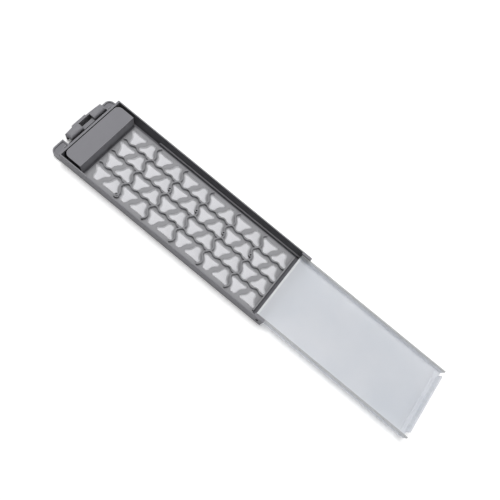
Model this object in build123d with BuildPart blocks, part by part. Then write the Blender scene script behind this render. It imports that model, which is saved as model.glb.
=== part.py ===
from build123d import *
import os

# A lint filter cassette for a washing machine, lying on its drum side with its cover drawn out.
# Sizes are in millimetres. X runs along the case from the latch to its open end, Y across it and
# Z up. The origin is the centre of the grille, on the plane that the cassette lies on.

# Grille
pitch = 13.5             # window to window, along and across
rows = 12
columns = 4
end_margin = 1.6         # plain border beyond the first and the last row
side_margin = 1.3        # plain border beside the outer columns
web_thickness = 1.4      # webs between the windows, above the net
bar_thickness = 0.7      # bars under the net, on the drum side
bar_width = 2.2
window_growth = 0.85     # from the outline below to a window's edge at the top of the webs
window_slope = 1.15      # how far the window's sides lean in from there to the net
# Half of a window's outline in shares of the pitch, from its blunt tip to the middle of its back
window_half = [
    (0.1, -0.385), (0.185, -0.29), (0.23, -0.09), (0.31, 0.065),
    (0.465, 0.215), (0.495, 0.29), (0.435, 0.355), (0, 0.335),
]
rib_width = 1.0
rib_height = 2.2
rib_sway = 0.75          # sideways swing of the ribs along the length
cross_sway = 1.7         # swing of the ribs across the width
post_diameter = 3.0
post_bore = 1.3
post_height = 2.5
post_offset = 5.4        # posts stand this far from the centre line
socket_diameter = 3.8
socket_bore = 2.4
socket_height = 2.0
socket_inset = 1.5       # socket centre to the side of the lattice
lap = 0.9                # flange of the grille that tucks under the floor frame
lap_thickness = 1.0
fit_gap = 0.1            # round the grille in its frame

# Net
net_thickness = 0.3
net_margin = 0.8         # net held in the border, beyond the windows

# Case
side_shelf = 3.7         # from the grille's opening to the outer face of the side walls
case_height = 13.6
floor_thickness = 1.6    # floor frame round the grille, lower than the webs
wall = 1.6               # end wall and finger pocket
side_wall = 2.1          # side walls at the foot
rim_width = 0.95         # side walls at the rim; the draft is on their inner faces
tail_length = 10.0       # side walls beyond the grille opening
rail_top = 4.9           # height of the rails that the cover rides on
rail_gap = 1.1           # groove between the grille and the rails
rail_lead = 21.5         # from the head of the lattice to the start of the rails
rail_ramp = 1.6
lip_length = 8.6         # lips that hold the cover down at the open end
lip_overlap = 0.45       # over the top of the cover's flanges
pocket_margin = 1.6      # from the grille opening to the finger pocket
pocket_length = 15.8
pocket_side_gap = 1.2    # between the pocket and the side walls
pocket_end_gap = 0.6     # between the pocket and the end wall
pocket_drop = 0.6        # pocket top below the rim
pocket_corner = 4.5
edge_round = 0.7         # along the foot of the walls
rim_round = 0.3

# Nose ears and latch
nose_reach = 10.6
nose_corner = 5.0
ear_height = 4.2
ear_recess = 0.7
ear_rim = 1.2
nose_gap = 41.3          # opening between the two ears
nose_offset = 2.05       # the opening sits a little off the centre line
latch_left_gap = 3.1     # between the latch's ends and the ears
latch_right_gap = 0.8
latch_depth = 7.0        # flat ends of the latch, along X
latch_bow = 0.9          # how far the latch's outer face bows out
latch_clear_wall = 3.4   # between the latch and the end wall
latch_foot = 0.8         # under the latch
latch_top = 10.0
latch_round = 2.6
thumb_width = 11.8
thumb_floor = 7.4
thumb_wall = 1.4         # left standing outside the thumb recess
slot_depth = 2.6         # deep slot in the outer part of the recess
latch_skirt = 1.2        # outer skirt of the latch, which is hollow towards the case
hollow_top = 6.4
gusset_thickness = 1.6   # ribs that carry the pins in the hollow
gusset_spread = 12.5     # from the middle of the latch to each gusset
pin_diameter = 2.4
pin_height = 2.2
pin_inset = 1.5          # pin axis from the latch's inner face
pin_reach = 4.0          # pin length inside each ear
pin_play = 0.1           # radial running clearance
pin_end_play = 0.5
catch_width = 14.0
catch_reach = 1.0
catch_low = 4.6
catch_high = 8.2
leaf_width = 9.0
leaf_thickness = 0.8
leaf_rise = 1.4
leaf_clear = 0.4         # between the spring leaf's end and the end wall

# Cover
cover_length = 140.6
cover_height = 7.2
cover_floor = 1.0
cover_wall = 1.2
cover_side_gap = 0.35
cover_slide_gap = 0.3    # above the rails and below the lips
drawn_overlap = 7.4      # length still held in the case
corner_gap = 3.8         # between the cover's end wall and its flanges
bead_width = 1.5
bead_height = 0.6
inner_round = 0.8
pip_diameter = 1.6
pip_reach = 0.9
pip_inset = 4.4          # pips and their windows, from the end of the cover and of the walls
pip_height = 7.6
catch_window_length = 2.2
catch_window_height = 4.6

# Derived places
lattice_length = rows * pitch
lattice_width = columns * pitch
net_z = bar_thickness
web_z = net_z + net_thickness
web_top = web_z + web_thickness
opening_length = lattice_length + 2 * end_margin
opening_width = lattice_width + 2 * side_margin
case_width = opening_width + 2 * side_shelf
wall_end_x = opening_length / 2 + tail_length
pocket_front_x = -opening_length / 2 - pocket_margin
pocket_back_x = pocket_front_x - pocket_length
end_wall_x = pocket_back_x - pocket_end_gap - wall
nose_x = end_wall_x - nose_reach
rail_start_x = -lattice_length / 2 + rail_lead
cover_x = wall_end_x - drawn_overlap
cover_z = rail_top + cover_slide_gap
lip_z = cover_z + cover_height + cover_slide_gap
latch_inner_x = end_wall_x - latch_clear_wall
latch_outer_x = latch_inner_x - latch_depth
pin_x = latch_inner_x - pin_inset


def inner_half(height):
    """Half of the width between the side walls, which thin towards the rim."""
    return case_width / 2 - side_wall + (side_wall - rim_width) * height / case_height


cover_width = 2 * (inner_half(cover_z) - cover_side_gap)


def row_x(row):
    """Centre of a row of windows, counted from the latch end."""
    return (row - (rows - 1) / 2) * pitch


def column_y(column):
    """Centre of a column of windows."""
    return (column - (columns - 1) / 2) * pitch


def between_rows(row):
    """Middle of the web that follows a row, counted from 1."""
    return (row - rows / 2) * pitch


# One window: a blunt lobe towards -Y and a pair of lobes towards +Y, with sides that slope in
# towards the net. There are many windows and ribs, so their rounds are a few straight cuts.
with BuildPart() as window:
    with BuildSketch(Plane.XY.offset(web_z)):
        with BuildLine():
            half = Polyline(*[(x * pitch, y * pitch) for x, y in window_half])
            mirror(about=Plane.YZ)
            Line(half @ 0, (-window_half[0][0] * pitch, window_half[0][1] * pitch))
        make_face()
        offset(amount=window_growth, kind=Kind.INTERSECTION)
    extrude(amount=2 * web_thickness)
    foot = window.faces().sort_by(Axis.Z)[0]
    chamfer(foot.edges(), window_slope, web_thickness, reference=foot)

odd_windows = [Location((row_x(r), column_y(c))) for r in range(0, rows, 2) for c in range(columns)]
even_windows = [
    Location((row_x(r), column_y(c)), (0, 0, 180)) for r in range(1, rows, 2) for c in range(columns)
]


def wave(start, step, count, sway, run_out=0):
    """Line of equal half-waves that swing to alternate sides, each with a flat crest."""
    side = Vector(-step.Y, step.X).normalized() * sway
    points = [start]
    for k in range(count):
        crest = side if k % 2 == 0 else -side
        points.append(start + step * (k + 1 / 3) + crest)
        points.append(start + step * (k + 2 / 3) + crest)
        points.append(start + step * (k + 1))
    if run_out:
        points.append(points[-1] + step.normalized() * run_out)
    Polyline(*points)


# Grille: border and drum-side bars, the slot for the net, the lattice of windows, ribs and posts
bar_rows = [between_rows(r) for r in range(2, rows, 2)]
bar_columns = [column_y(c) + pitch / 2 for c in range(columns - 1)]
flange_length = opening_length + 2 * (lap - fit_gap)
flange_width = opening_width + 2 * (lap - fit_gap)
net_length = lattice_length + 2 * net_margin
net_width = lattice_width + 2 * net_margin

with BuildPart() as grille:
    with BuildSketch():
        Rectangle(flange_length, flange_width)
        Rectangle(net_length, net_width, mode=Mode.SUBTRACT)
        with Locations(*[(x, 0) for x in bar_rows]):
            Rectangle(bar_width, net_width)
        with Locations(*[(0, y) for y in bar_columns]):
            Rectangle(net_length, bar_width)
    extrude(amount=bar_thickness)
    with BuildSketch(Plane.XY.offset(net_z)):
        Rectangle(flange_length, flange_width)
        Rectangle(net_length, net_width, mode=Mode.SUBTRACT)
    extrude(amount=lap_thickness - net_z)
    with BuildSketch(Plane.XY.offset(web_z)):
        Rectangle(opening_length - 2 * fit_gap, opening_width - 2 * fit_gap)
    extrude(amount=web_thickness)
    with Locations(*odd_windows, *even_windows):
        add(window.part, mode=Mode.SUBTRACT)
    with BuildSketch(Plane.XY.offset(web_z)):
        for y in bar_columns:
            with BuildLine():
                head = Vector(-lattice_length / 2, y + rib_width / 2)
                wave(head, Vector(pitch / 3, 0), 3 * rows, rib_sway, end_margin / 2)
                offset(amount=rib_width / 2, side=Side.BOTH, kind=Kind.INTERSECTION)
            make_face()
        for x in bar_rows:
            with BuildLine():
                wave(Vector(x, lattice_width / 2), Vector(0, -pitch / 2), 2 * columns, -cross_sway)
                offset(amount=rib_width / 2, side=Side.BOTH, kind=Kind.INTERSECTION)
            make_face()
        with Locations(((lattice_length + end_margin) / 2, 0)):
            Rectangle(rib_width, lattice_width)
    extrude(amount=web_thickness + rib_height)
    post_places = [(x, post_offset) for x in bar_rows[1:]]
    with BuildSketch(Plane.XY.offset(web_z)):
        with Locations(*post_places):
            Circle(post_diameter / 2)
    extrude(amount=web_thickness + post_height)
    socket_place = (bar_rows[0] + rib_width, -lattice_width / 2 + socket_inset)
    with BuildSketch(Plane.XY.offset(web_z)):
        with Locations(socket_place):
            Circle(socket_diameter / 2)
    extrude(amount=web_thickness + socket_height)
    with BuildSketch(Plane.XY.offset(web_top + post_height)):
        with Locations(*post_places):
            Circle(post_bore / 2)
    extrude(amount=-post_height, mode=Mode.SUBTRACT)
    with BuildSketch(Plane.XY.offset(web_top + socket_height)):
        with Locations(socket_place):
            Circle(socket_bore / 2)
    extrude(amount=-socket_height, mode=Mode.SUBTRACT)

# Net: one flat sheet in the slot of the grille
with BuildPart() as filter_net:
    with BuildSketch(Plane.XY.offset(net_z)):
        Rectangle(net_length, net_width)
    extrude(amount=net_thickness)

# Case: floor frame, walls, rails, lips, finger pocket, nose ears
case_length = wall_end_x - end_wall_x
case_middle_x = (wall_end_x + end_wall_x) / 2

with BuildSketch() as nose:
    with Locations(((nose_x + end_wall_x) / 2, 0)):
        Rectangle(nose_reach, case_width)
    fillet(nose.vertices().group_by(Axis.X)[0], nose_corner)
    with Locations(((nose_x + end_wall_x) / 2, nose_offset)):
        Rectangle(nose_reach, nose_gap, mode=Mode.SUBTRACT)

with BuildSketch() as pocket:
    with Locations(((pocket_front_x + pocket_back_x) / 2, 0)):
        Rectangle(pocket_length, 2 * (inner_half(0) - pocket_side_gap))
    fillet(pocket.vertices().group_by(Axis.X)[0], pocket_corner)

with BuildPart() as case:
    with BuildSketch():
        with Locations((case_middle_x, 0)):
            Rectangle(case_length, case_width)
    extrude(amount=case_height)
    fillet(case.edges().group_by(Axis.Z)[0].filter_by(Axis.X), edge_round)
    rim = case.edges().group_by(Axis.Z)[-1]
    fillet(rim.filter_by(Axis.X) + rim.sort_by(Axis.X)[:1], rim_round)
    with BuildSketch(Plane.YZ.offset(end_wall_x + wall)):
        with BuildLine():
            Polyline(
                (-inner_half(floor_thickness), floor_thickness),
                (inner_half(floor_thickness), floor_thickness),
                (inner_half(case_height), case_height),
                (-inner_half(case_height), case_height),
                close=True,
            )
        make_face()
    extrude(amount=case_length - wall, mode=Mode.SUBTRACT)
    with BuildSketch():
        Rectangle(opening_length, opening_width)
    extrude(amount=floor_thickness, mode=Mode.SUBTRACT)
    with BuildSketch():
        Rectangle(opening_length + 2 * lap, opening_width + 2 * lap)
    extrude(amount=lap_thickness, mode=Mode.SUBTRACT)
    # Rails, with a ramp at the start
    rail_inner_y = opening_width / 2 + rail_gap
    with BuildSketch(Plane.XZ.offset(-rail_inner_y)):
        with BuildLine():
            Polyline(
                (rail_start_x, floor_thickness),
                (rail_start_x + rail_ramp, rail_top),
                (wall_end_x, rail_top),
                (wall_end_x, floor_thickness),
                close=True,
            )
        make_face()
    extrude(amount=rail_inner_y - inner_half(rail_top) - rim_width / 2)
    mirror(about=Plane.XZ)
    # Lips over the cover's flanges at the open end
    with BuildSketch(Plane.XY.offset(lip_z)):
        with Locations((wall_end_x - lip_length / 2, 0)):
            Rectangle(lip_length, case_width - rim_width)
            Rectangle(lip_length, cover_width - 2 * lip_overlap, mode=Mode.SUBTRACT)
    extrude(amount=case_height - lip_z)
    # Finger pocket, raised inside the case and open to the drum side
    add(extrude(pocket.sketch, amount=case_height - pocket_drop, mode=Mode.PRIVATE))
    with BuildSketch():
        offset(pocket.sketch, amount=-wall)
    extrude(amount=case_height - pocket_drop - wall, mode=Mode.SUBTRACT)
    # Nose ears with recessed tops and bores for the latch pins
    add(extrude(nose.sketch, amount=ear_height, mode=Mode.PRIVATE))
    with BuildSketch(Plane.XY.offset(ear_height)):
        offset(nose.sketch, amount=-ear_rim)
    extrude(amount=-ear_recess, mode=Mode.SUBTRACT)
    pin_bore_length = nose_gap + 2 * (pin_reach + pin_end_play)
    with BuildSketch(Plane.XZ.offset(-nose_offset)):
        with Locations((pin_x, pin_height)):
            Circle(pin_diameter / 2 + pin_play)
    extrude(amount=pin_bore_length / 2, both=True, mode=Mode.SUBTRACT)
    # Windows for the cover's pips, and the grooves that lead the pips to them
    pip_x = wall_end_x - pip_inset
    with BuildSketch(Plane.XZ):
        with Locations((pip_x, pip_height)):
            Rectangle(catch_window_length, catch_window_height)
    extrude(amount=case_width, both=True, mode=Mode.SUBTRACT)
    groove_height = pip_diameter + 4 * cover_slide_gap
    with BuildSketch(Plane.XZ):
        with Locations(((pip_x + wall_end_x) / 2, pip_height)):
            Rectangle(pip_inset, groove_height)
    extrude(amount=cover_width / 2 + pip_reach + cover_slide_gap, both=True, mode=Mode.SUBTRACT)

# Cover: shallow channel, open at its inner end, with an end wall between two gaps
cover_end_x = cover_x + cover_length
flange_inner_width = cover_width - 2 * cover_wall

with BuildPart() as slide_cover:
    with BuildSketch(Plane.YZ.offset(cover_x)):
        with Locations((0, cover_z + cover_height / 2)):
            Rectangle(cover_width, cover_height)
        with Locations((0, cover_z + cover_floor + cover_height / 2)):
            Rectangle(flange_inner_width, cover_height, mode=Mode.SUBTRACT)
    extrude(amount=cover_length)
    flange_feet = slide_cover.edges().filter_by(Axis.X).group_by(Axis.Z)[1]
    fillet(flange_feet, inner_round)
    with BuildSketch(Plane.YZ.offset(cover_end_x)):
        with Locations((0, cover_z + cover_height / 2)):
            Rectangle(flange_inner_width - 2 * corner_gap, cover_height)
    extrude(amount=-cover_wall)
    with BuildSketch(Plane.XY.offset(cover_z + cover_floor)):
        with Locations((cover_x + bead_width / 2, 0)):
            Rectangle(bead_width, flange_inner_width)
    extrude(amount=bead_height)
    with BuildSketch(Plane.XZ):
        with Locations((cover_end_x - pip_inset, pip_height)):
            Circle(pip_diameter / 2)
    extrude(amount=cover_width / 2 + pip_reach, both=True)
    with BuildSketch(Plane.XZ):
        with Locations((cover_end_x - pip_inset, pip_height)):
            Circle(pip_diameter)
    extrude(amount=flange_inner_width / 2, both=True, mode=Mode.SUBTRACT)

# Latch: bowed thumb bar with a recess, a catch on its outer face, two pins and a spring leaf
latch_low_y = nose_offset - nose_gap / 2 + latch_left_gap
latch_high_y = nose_offset + nose_gap / 2 - latch_right_gap
latch_middle_y = (latch_low_y + latch_high_y) / 2

with BuildPart() as latch:
    with BuildSketch(Plane.XY.offset(latch_foot)):
        with BuildLine():
            Polyline(
                (latch_outer_x, latch_high_y),
                (latch_inner_x, latch_high_y),
                (latch_inner_x, latch_low_y),
                (latch_outer_x, latch_low_y),
            )
            ThreePointArc(
                (latch_outer_x, latch_low_y),
                (latch_outer_x - latch_bow, latch_middle_y),
                (latch_outer_x, latch_high_y),
            )
        make_face()
    extrude(amount=latch_top - latch_foot)
    fillet(latch.edges().group_by(Axis.Z)[-1], latch_round)
    # Thumb recess, open towards the case
    with BuildSketch(Plane.XY.offset(thumb_floor)):
        with Locations(((latch_outer_x + thumb_wall + latch_inner_x) / 2, latch_middle_y)):
            Rectangle(latch_depth - thumb_wall, thumb_width)
    extrude(amount=latch_top - thumb_floor, mode=Mode.SUBTRACT)
    # Hollow behind the outer skirt, with gussets for the pins, and the slot that opens into it
    latch_length = latch_high_y - latch_low_y
    with BuildSketch(Plane.XY.offset(latch_foot)):
        with Locations(((latch_outer_x + latch_skirt + latch_inner_x) / 2, latch_middle_y)):
            Rectangle(latch_depth - latch_skirt, latch_length)
        with Locations(*[(pin_x, latch_middle_y + k * gusset_spread) for k in (-1, 1)]):
            Rectangle(latch_depth + latch_bow, gusset_thickness, mode=Mode.SUBTRACT)
    extrude(amount=hollow_top - latch_foot, mode=Mode.SUBTRACT)
    with BuildSketch(Plane.XY.offset(latch_foot)):
        with Locations((latch_outer_x + thumb_wall + slot_depth / 2, latch_middle_y)):
            Rectangle(slot_depth, thumb_width)
    extrude(amount=latch_top - latch_foot, mode=Mode.SUBTRACT)
    # Catch that snaps behind its keeper
    catch_root_x = latch_outer_x - latch_bow + wall
    catch_tip_x = latch_outer_x - latch_bow - catch_reach
    with BuildSketch(Plane.XZ):
        with BuildLine():
            Polyline(
                (catch_root_x, catch_low),
                (catch_tip_x, (catch_low + catch_high) / 2),
                (catch_tip_x, catch_high - catch_reach / 2),
                (catch_root_x, catch_high),
                close=True,
            )
        make_face()
    extrude(amount=catch_width / 2, both=True)
    # Pins
    with BuildSketch(Plane.XZ.offset(-nose_offset)):
        with Locations((pin_x, pin_height)):
            Circle(pin_diameter / 2)
    extrude(amount=nose_gap / 2 + pin_reach, both=True)
    # Spring leaf that bears on the end wall
    leaf_end_x = end_wall_x - leaf_clear - leaf_thickness / 2
    with BuildSketch(Plane.XZ.offset(-latch_middle_y)):
        with BuildLine():
            ThreePointArc(
                (pin_x, latch_foot + leaf_thickness / 2),
                (latch_inner_x + latch_clear_wall / 2, latch_foot + leaf_thickness / 2 + leaf_rise / 4),
                (leaf_end_x, latch_foot + leaf_thickness / 2 + leaf_rise),
            )
            offset(amount=leaf_thickness / 2, side=Side.BOTH)
        make_face()
    extrude(amount=leaf_width / 2, both=True)

os.makedirs("parts", exist_ok=True)

case.part.label = "case"
export_step(case.part, "parts/case.step")
grille.part.label = "grille"
export_step(grille.part, "parts/grille.step")
filter_net.part.label = "filter_net"
export_step(filter_net.part, "parts/filter_net.step")
slide_cover.part.label = "slide_cover"
export_step(slide_cover.part, "parts/slide_cover.step")
latch.part.label = "latch"
export_step(latch.part, "parts/latch.step")
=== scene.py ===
import math

import bpy
import numpy as np
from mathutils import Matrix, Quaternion, Vector


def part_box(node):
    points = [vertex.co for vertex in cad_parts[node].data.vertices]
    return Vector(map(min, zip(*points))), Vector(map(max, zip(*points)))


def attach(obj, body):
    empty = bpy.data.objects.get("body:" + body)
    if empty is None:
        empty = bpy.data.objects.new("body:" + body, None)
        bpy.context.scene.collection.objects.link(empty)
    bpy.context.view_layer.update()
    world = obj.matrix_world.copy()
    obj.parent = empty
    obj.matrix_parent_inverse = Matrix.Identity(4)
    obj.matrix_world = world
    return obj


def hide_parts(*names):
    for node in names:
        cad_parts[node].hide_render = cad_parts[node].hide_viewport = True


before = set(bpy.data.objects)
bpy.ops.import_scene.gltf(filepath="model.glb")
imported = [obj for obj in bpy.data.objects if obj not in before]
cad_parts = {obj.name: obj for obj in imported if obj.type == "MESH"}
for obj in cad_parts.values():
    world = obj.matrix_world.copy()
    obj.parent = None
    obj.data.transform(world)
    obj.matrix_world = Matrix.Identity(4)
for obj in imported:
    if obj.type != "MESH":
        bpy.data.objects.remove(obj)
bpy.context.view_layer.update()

# A lint filter cassette on a white table. Lengths are in metres, in the frame of the CAD part:
# X from the latch to the open end, Y across, Z up.
MM = 0.001

# Camera
CAMERA_PLACE = Vector((0.0606, -0.1173, 0.3517))
CAMERA_TARGET = Vector((0.0511, 0.0099, 0.0))
CAMERA_ROLL = math.radians(35.36)       # anticlockwise turn about the line of sight
CAMERA_LENS = 34.38
CAMERA_SENSOR = 36.0

# Table and light
WHITE = (1.0, 1.0, 1.0)
TABLE_SIDE = 3.0
TABLE_DROP = 0.05 * MM                  # just under the cassette, so that no faces share a plane
TABLE_COLOUR = (0.94, 0.94, 0.94)
TABLE_WHITE = 0.21                      # white added to the table for the rays that are seen
SKY_LEVEL = 0.12                        # strength of the sky as a light
SKY_WHITE = 1.0                         # and for the rays that are seen
LIGHT_AIM = Vector((0.05, 0.0, 0.0))    # both soft boxes look here
KEY_PLACE = Vector((-0.5, 0.28, 2.0))
KEY_SIDE = 1.0
KEY_WATTS = 34.8
FILL_PLACE = Vector((1.5, -0.1, 0.9))
FILL_SIDE = 1.0
FILL_WATTS = 7.5

# Moulded plastic
EDGE_BAND = 0.4 * MM                    # width of the paler band along the edges, which is wear and a painted highlight
FLAT_SHARE = 0.95                       # share of short rays that run free inside a flat face
EDGE_SHARE = 0.55                       # and inside an edge painted paler
RECESS_REACH = 6.0 * MM                 # how far a face looks for shelter, for the painted shade in recesses
FLOW_TONE = 0.05                        # how far the flow marks change the colour
FLOW_GLOSS = 0.07                       # and the roughness

# Case
CASE_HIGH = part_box("case")[1]
SLIDE_WALL = CASE_HIGH.y - 2.3 * MM     # just inside the feet of the side walls
SLIDE_SILL = CASE_HIGH.x - 10.1 * MM    # the sill under the cover's mouth starts here
SLIDE_SHADE = (0.105, 0.104, 0.112)      # painted shade on the inner side walls and the sill under the cover

# Grille
NET_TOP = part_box("filter_net")[1].z
WEB_TOP = NET_TOP + 1.5 * MM            # painted bounce light makes the webs paler from here
WEB_FOOT = NET_TOP + 0.1 * MM           # down to here, where they run out on the net
BAR_TOP = NET_TOP - 0.1 * MM            # below this are the bars under the net
# painted bounce light on the webs near the net
WEB_BOUNCE_PALE = (0.75, 0.75, 0.77)

# Cover, where it is drawn
COVER_LOW, COVER_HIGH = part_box("slide_cover")
SHEET_DEEP = (0.762, 0.783, 0.815)
SHEET_PALE = (0.815, 0.826, 0.85)
SHEET_EDGE = (0.93, 0.938, 0.95)        # painted highlight on the cut edges and the bead
SHEET_EDGE_BAND = 0.35 * MM
SHEET_SOFTNESS = 0.3 * MM
BEAD_END = COVER_LOW.x + 1.5 * MM       # the bead along the inner end reaches to here
BEAD_FADE = 0.3 * MM
FLANGE_FOOT = COVER_LOW.z + 1.8 * MM    # the flanges rise out of the sheet here
FLANGE_FADE = 0.6 * MM
FLANGE_TOP = COVER_HIGH.z - 0.4 * MM    # and are greyest from here up
FLANGE_INSIDE = CASE_HIGH.y - 5.0 * MM  # the flanges are further than this from the middle
FLANGE_GREY = (0.57, 0.572, 0.57)
SHEET_BODY = 0.88                       # share of the light that doesn't go straight through the sheet
FLANGE_BODY = 0.75                      # and the flanges
GLOW_SHARE = 0.4                        # share of it that is scattered to the far side
CLEAR_TINT = (0.95, 0.955, 0.97)

# Net
PITCH = 13.5 * MM                       # window to window in the grille
NET_SAG = 0.12 * MM
NET_THICKNESS = 0.16 * MM
NET_STEP = 0.45 * MM                    # size of a face of the sheet
NET_REACH = 2.5 * MM                    # how far the net looks for shelter, for its painted shade
NET_SHADE_DEPTH = 0.3
THREAD_PITCH = 0.42 * MM
WAVE_TURN = 20                          # radians that a wave texture turns by in a unit of its scale
THREAD_SCALE = math.tau / (WAVE_TURN * THREAD_PITCH)
THREAD_GAP = (0.53, 0.53, 0.55)
THREAD_CROWN = (0.7, 0.7, 0.725)

# Sockets of a Mix node for colours, which have no names of their own
MIX_FIRST = 6
MIX_SECOND = 7
MIX_RESULT = 2


class Nodes:
    """Short ways to add and join the nodes of one material, or of the world."""

    def __init__(self, owner):
        self.owner = owner
        owner.use_nodes = True
        self.tree = owner.node_tree
        self.tree.nodes.clear()

    def add(self, kind, **values):
        """A node with the given properties; a key that names an input feeds that input."""
        node = self.tree.nodes.new("ShaderNode" + kind)
        for key, value in values.items():
            if key in node.inputs:
                self.feed(value, node, key)
            else:
                setattr(node, key, value)
        return node

    def feed(self, value, node, socket=0):
        """Gives an input a number or a colour, or links it to an output or to a node's first output."""
        target = node.inputs[socket]
        if isinstance(value, (int, float)):
            target.default_value = value
        elif isinstance(value, tuple):
            target.default_value = (*value, 1.0)
        elif isinstance(value, bpy.types.Node):
            self.tree.links.new(value.outputs[0], target)
        else:
            self.tree.links.new(value, target)

    def math(self, operation, *terms):
        """The operation on numbers, nodes or outputs."""
        node = self.add("Math", operation=operation)
        for socket, term in enumerate(terms):
            self.feed(term, node, socket)
        return node

    def span(self, source, start, end, low=0.0, high=1.0):
        """Low where the source is at the start, high where it is at the end, and even in between."""
        limits = {"From Min": start, "From Max": end, "To Min": low, "To Max": high}
        return self.add("MapRange", Value=source, **limits)

    def ramp(self, source, stops):
        """A colour ramp over the source, with stops of (place, colour)."""
        node = self.add("ValToRGB", Fac=source)
        elements = node.color_ramp.elements
        while len(elements) < len(stops):
            elements.new(0.5)
        for element, (place, colour) in zip(elements, stops):
            element.position = place
            element.color = (*colour, 1.0)
        return node

    def split(self, source):
        """The X, Y and Z of a place or of a facing."""
        return self.add("SeparateXYZ", Vector=source).outputs

    def mixed(self, mask, first, second, blend="MIX"):
        """The first colour where the mask is 0, and its blend with the second where the mask is 1."""
        node = self.add("Mix", data_type="RGBA", blend_type=blend)
        self.feed(mask, node)
        self.feed(first, node, MIX_FIRST)
        self.feed(second, node, MIX_SECOND)
        return node.outputs[MIX_RESULT]

    def shared(self, share, first, second):
        """The first shader, with this share of the second."""
        node = self.add("MixShader", Fac=share)
        self.feed(first, node, 1)
        self.feed(second, node, 2)
        return node

    def finish(self, shader, output="OutputMaterial"):
        """Joins the shader to the output."""
        self.add(output, Surface=shader)
        return self.owner


def new_material(name):
    """The nodes of a new material."""
    return Nodes(bpy.data.materials.new(name))


def worn_and_lit_edges(nodes, width):
    """1 on outer edges and 0 elsewhere, for edges painted paler as wear and highlight: how soon short
    rays into the body meet another of its faces.
    """
    inside = nodes.add("AmbientOcclusion", samples=8, inside=True, only_local=True, Distance=width)
    return nodes.span(inside.outputs["AO"], FLAT_SHARE, EDGE_SHARE)


def recess_shade(nodes, reach, shade_depth):
    """Painted shade: dark in recesses and white in the open, by the share of rays that run free for the
    reach.
    """
    outside = nodes.add("AmbientOcclusion", samples=8, Distance=reach)
    half = 1.0 - 0.6 * shade_depth
    dark = 1.0 - shade_depth
    bore = 0.3 * dark
    levels = [(0.12, bore), (0.26, dark), (0.45, half), (0.8, 1.0)]
    stops = [(place, (level, level, level)) for place, level in levels]
    return nodes.ramp(outside.outputs["AO"], stops)


def web_foot_bounce(nodes, place):
    """Painted bounce light from the white net: 1 where the webs run out on the net, falling to 0 at
    their tops, and 0 on the bars below.
    """
    height = nodes.split(place["Object"])["Z"]
    run_out = nodes.span(height, WEB_TOP, WEB_FOOT)
    return nodes.math("MULTIPLY", run_out, nodes.math("GREATER_THAN", height, BAR_TOP))


def wall_and_sill_shade(nodes, place):
    """Painted shade: 1 on the inner faces of the two side walls, far from the middle and facing it, and
    on the sill between them."""
    spot = nodes.split(place["Object"])
    facing = nodes.split(place["Normal"])
    side = nodes.math("ABSOLUTE", spot["Y"])
    outward = nodes.math("MULTIPLY", spot["Y"], facing["Y"])
    inward = nodes.math("LESS_THAN", outward, -0.5 * SLIDE_WALL)
    walls = nodes.math("MULTIPLY", inward, nodes.math("GREATER_THAN", side, SLIDE_WALL))
    beyond = nodes.math("GREATER_THAN", spot["X"], SLIDE_SILL)
    sill = nodes.math("MULTIPLY", beyond, nodes.math("LESS_THAN", side, SLIDE_WALL))
    return nodes.math("MAXIMUM", walls, sill)


def moulded_plastic(name, colour, wear_and_highlight_colour, roughness, grain, softness, shade_depth, web_bounce_colour=None,
                    slide_shade_colour=None):
    """Satin moulded plastic: soft edges that are a little paler, as wear and as a painted highlight,
    painted shade that makes recesses a little darker, faint flow marks and a fine grain. A paler web
    colour is painted bounce light where the webs run out on the net, and a slide colour is painted
    shade on the inner side walls and the sill under the cover."""
    nodes = new_material(name)
    place = nodes.add("TexCoord").outputs
    flow = nodes.add("TexNoise", Vector=place["Object"], Scale=38.0, Detail=4.0, Roughness=0.6)
    fine = nodes.add("TexNoise", Vector=place["Object"], Scale=grain, Detail=3.0, Roughness=0.65)

    pale = tuple(c * (1 + FLOW_TONE) for c in colour)
    deep = tuple(c * (1 - FLOW_TONE) for c in colour)
    flow_tone = nodes.ramp(flow, [(0.3, deep), (0.7, pale)])
    # edges paler, partly wear and partly a painted highlight
    worn_lit_tone = nodes.mixed(worn_and_lit_edges(nodes, EDGE_BAND), flow_tone, wear_and_highlight_colour)
    # painted shade: the colour is darker in recesses
    tone = nodes.mixed(1.0, worn_lit_tone, recess_shade(nodes, RECESS_REACH, shade_depth), blend="MULTIPLY")
    if web_bounce_colour:
        # painted bounce light: webs paler where they run out on the white net
        tone = nodes.mixed(web_foot_bounce(nodes, place), tone, web_bounce_colour)
    if slide_shade_colour:
        # painted shade on the inner side walls and the sill under the cover
        tone = nodes.mixed(wall_and_sill_shade(nodes, place), tone, slide_shade_colour)

    soft = nodes.add("Bevel", samples=6, Radius=softness)
    bump = nodes.add("Bump", Height=fine, Normal=soft, Strength=0.12, Distance=0.05 * MM)
    rough = nodes.span(flow, 0.0, 1.0, roughness - FLOW_GLOSS, roughness + FLOW_GLOSS)
    looks = {"Base Color": tone, "Roughness": rough, "Normal": bump, "Specular IOR Level": 0.15}
    return nodes.finish(nodes.add("BsdfPrincipled", **looks))


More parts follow.
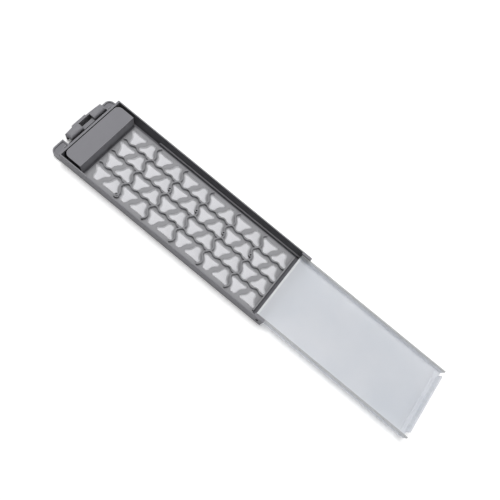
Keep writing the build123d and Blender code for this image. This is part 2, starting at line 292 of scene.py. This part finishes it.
def frosted_cover():
    """Pale translucent sheet: a little light goes straight through, the rest is scattered. Cut edges
    and the bead at the inner end carry a painted highlight, and the flanges grow greyer towards their
    tops."""
    nodes = new_material("frosted_cover")
    place = nodes.add("TexCoord").outputs["Object"]
    cloud = nodes.add("TexNoise", Vector=place, Scale=24.0, Detail=3.0, Roughness=0.55)
    fine = nodes.add("TexNoise", Vector=place, Scale=2400.0, Detail=2.0, Roughness=0.6)

    cloud_tone = nodes.ramp(cloud, [(0.3, SHEET_DEEP), (0.7, SHEET_PALE)])
    spot = nodes.split(place)
    # painted highlight along the bead and the cut edges
    bead = nodes.span(spot["X"], BEAD_END + BEAD_FADE, BEAD_END)
    edge_and_bead_highlight = nodes.math("MAXIMUM", worn_and_lit_edges(nodes, SHEET_EDGE_BAND), bead)
    edged = nodes.mixed(edge_and_bead_highlight, cloud_tone, SHEET_EDGE)
    rise = nodes.span(spot["Z"], FLANGE_FOOT, FLANGE_TOP)
    outer = nodes.math("GREATER_THAN", nodes.math("ABSOLUTE", spot["Y"]), FLANGE_INSIDE)
    tone = nodes.mixed(nodes.math("MULTIPLY", rise, outer), edged, FLANGE_GREY)

    soft = nodes.add("Bevel", samples=6, Radius=SHEET_SOFTNESS)
    bump = nodes.add("Bump", Height=fine, Normal=soft, Strength=0.08, Distance=0.04 * MM)
    rough = nodes.span(cloud, 0.0, 1.0, 0.30, 0.42)
    looks = {"Base Color": tone, "Roughness": rough, "Normal": bump, "Specular IOR Level": 0.25}
    body = nodes.add("BsdfPrincipled", IOR=1.49, **looks)
    glow = nodes.add("BsdfTranslucent", Color=tone, Normal=bump)
    scatter = nodes.shared(GLOW_SHARE, body, glow)
    clear = nodes.add("BsdfTransparent", Color=CLEAR_TINT)
    share = nodes.span(spot["Z"], FLANGE_FOOT, FLANGE_FOOT + FLANGE_FADE, SHEET_BODY, FLANGE_BODY)
    return nodes.finish(nodes.shared(share, clear, scatter))


def woven_net():
    """White woven net: crossing threads as two waves on the sheet, with paler crowns, and painted shade
    along the edges of the windows."""
    nodes = new_material("woven_net")
    place = nodes.add("TexCoord").outputs["Object"]
    threads = {"wave_type": "BANDS", "Vector": place, "Scale": THREAD_SCALE}
    along = nodes.add("TexWave", bands_direction="X", **threads)
    across = nodes.add("TexWave", bands_direction="Y", **threads)
    crown = nodes.math("MAXIMUM", along, across)
    cloud = nodes.add("TexNoise", Vector=place, Scale=90.0, Detail=3.0)
    thread_tone = nodes.ramp(crown, [(0.0, THREAD_GAP), (0.8, THREAD_CROWN)])
    # painted shade: the net is darker along the edges of the windows
    tone = nodes.mixed(1.0, thread_tone, recess_shade(nodes, NET_REACH, NET_SHADE_DEPTH), blend="MULTIPLY")
    bump = nodes.add("Bump", Height=crown, Strength=0.35, Distance=0.06 * MM)
    rough = nodes.span(cloud, 0.0, 1.0, 0.55, 0.75)
    looks = {"Base Color": tone, "Roughness": rough, "Normal": bump, "Sheen Weight": 0.15}
    return nodes.finish(nodes.add("BsdfPrincipled", **looks))


def seen_rays(nodes):
    """1 for rays from the eye, in gloss and through the cover, and 0 for the rays that light things."""
    path = nodes.add("LightPath").outputs
    gloss = nodes.math("MAXIMUM", path["Is Camera Ray"], path["Is Glossy Ray"])
    return nodes.math("MAXIMUM", gloss, path["Is Transmission Ray"])


def white_table():
    """White matt table that takes the shadow. A little white is added to it for the rays that are
    seen."""
    nodes = new_material("white_table")
    added = nodes.math("MULTIPLY", seen_rays(nodes), TABLE_WHITE)
    both = nodes.add("AddShader")
    nodes.feed(nodes.add("BsdfDiffuse", Color=TABLE_COLOUR), both, 0)
    nodes.feed(nodes.add("Emission", Color=WHITE, Strength=added), both, 1)
    return nodes.finish(both)


def add_mesh(name, points, faces, material):
    """A new mesh object at the origin, with its place in its points."""
    mesh = bpy.data.meshes.new(name)
    mesh.from_pydata(points, [], faces)
    mesh.materials.append(material)
    thing = bpy.data.objects.new(name, mesh)
    bpy.context.scene.collection.objects.link(thing)
    return thing


def net_sheet(material):
    """The net as one closed sheet in the grille's slot. Its middle surface sags between the bars by
    NET_SAG times the squared sines of the place in the window cell along X and Y; the upper and
    lower grids stand half the thickness above and below it, and a band joins their rims."""
    low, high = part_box("filter_net")
    columns = int((high.x - low.x) / NET_STEP)
    rows = int((high.y - low.y) / NET_STEP)
    x, y = np.meshgrid(np.linspace(low.x, high.x, columns), np.linspace(low.y, high.y, rows))
    dip = np.sin(np.pi * x / PITCH) ** 2 * np.sin(np.pi * y / PITCH) ** 2
    middle = (low.z + high.z) / 2 - NET_SAG * dip
    upper = np.stack((x, y, middle + NET_THICKNESS / 2), axis=-1).reshape(-1, 3)
    lower = np.stack((x, y, middle - NET_THICKNESS / 2), axis=-1).reshape(-1, 3)
    index = np.arange(rows * columns).reshape(rows, columns)
    a, b, c, d = index[:-1, :-1], index[:-1, 1:], index[1:, 1:], index[1:, :-1]
    top = np.stack((a, b, c, d), axis=-1).reshape(-1, 4)
    bottom = np.stack((a, d, c, b), axis=-1).reshape(-1, 4) + rows * columns
    rim = np.concatenate((index[0, :-1], index[:-1, -1], index[-1, :0:-1], index[::-1, 0][:-1]))
    after = np.roll(rim, -1)
    band = np.stack((rim, rim + rows * columns, after + rows * columns, after), axis=-1)
    points = np.concatenate((upper, lower))
    faces = np.concatenate((top, bottom, band))
    net = add_mesh("net_sheet", points.tolist(), faces.tolist(), material)
    net.data.polygons.foreach_set("use_smooth", np.ones(len(faces), dtype=bool))
    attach(net, "cassette")
    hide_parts("filter_net")


def dress(node, material):
    """Gives a CAD node its finish."""
    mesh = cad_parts[node].data
    mesh.materials.clear()
    mesh.materials.append(material)


def make_table():
    """A large flat table top under the cassette."""
    half = TABLE_SIDE / 2
    corners = [(-half, -half), (half, -half), (half, half), (-half, half)]
    points = [(x, y, -TABLE_DROP) for x, y in corners]
    add_mesh("table", points, [(0, 1, 2, 3)], white_table())


def soft_box(name, place, side, watts):
    """A square soft box that looks at the cassette."""
    data = bpy.data.lights.new(name, "AREA")
    data.shape = "SQUARE"
    data.size = side
    data.energy = watts
    lamp = bpy.data.objects.new(name, data)
    lamp.location = place
    lamp.rotation_mode = "QUATERNION"
    lamp.rotation_quaternion = (LIGHT_AIM - place).to_track_quat("-Z", "Y")
    bpy.context.scene.collection.objects.link(lamp)


def make_light():
    """A soft box above the head of the picture, a weak one low at its foot, and a faint even sky."""
    soft_box("key_box", KEY_PLACE, KEY_SIDE, KEY_WATTS)
    soft_box("fill_box", FILL_PLACE, FILL_SIDE, FILL_WATTS)
    nodes = Nodes(bpy.data.worlds.new("studio"))
    level = nodes.span(seen_rays(nodes), 0.0, 1.0, SKY_LEVEL, SKY_WHITE)
    sky = nodes.add("Background", Color=WHITE, Strength=level)
    bpy.context.scene.world = nodes.finish(sky, "OutputWorld")


def make_camera():
    """The camera at the photograph's angle."""
    data = bpy.data.cameras.new("photo_camera")
    data.lens = CAMERA_LENS
    data.sensor_width = CAMERA_SENSOR
    camera = bpy.data.objects.new("photo_camera", data)
    sight = (CAMERA_TARGET - CAMERA_PLACE).to_track_quat("-Z", "Y")
    camera.location = CAMERA_PLACE
    camera.rotation_mode = "QUATERNION"
    camera.rotation_quaternion = sight @ Quaternion((0, 0, 1), CAMERA_ROLL)
    bpy.context.scene.collection.objects.link(camera)
    bpy.context.scene.camera = camera


make_camera()
# the case: painted shade in its recesses, and darker painted shade on the inner side walls and sill
case_grey = moulded_plastic(
    "case_grey", colour=(0.228, 0.226, 0.244), wear_and_highlight_colour=(0.36, 0.36, 0.375), roughness=0.55,
    grain=900.0, softness=0.35 * MM, shade_depth=0.35, slide_shade_colour=SLIDE_SHADE
)
dress("case", case_grey)
# the latch: deep painted shade in its recesses and gaps
latch_grey = moulded_plastic(
    "latch_grey", colour=(0.25, 0.248, 0.266), wear_and_highlight_colour=(0.37, 0.37, 0.385), roughness=0.5,
    grain=900.0, softness=0.35 * MM, shade_depth=0.85
)
dress("latch", latch_grey)
# the grille: painted shade in its recesses and painted bounce light where the webs meet the net
grille_grey = moulded_plastic(
    "grille_grey", colour=(0.275, 0.275, 0.288), wear_and_highlight_colour=(0.3, 0.3, 0.315), roughness=0.55,
    grain=1100.0, softness=0.5 * MM, shade_depth=0.45, web_bounce_colour=WEB_BOUNCE_PALE
)
dress("grille", grille_grey)
dress("slide_cover", frosted_cover())
net_sheet(woven_net())
make_table()
make_light()
bpy.context.scene.view_settings.view_transform = "Standard"
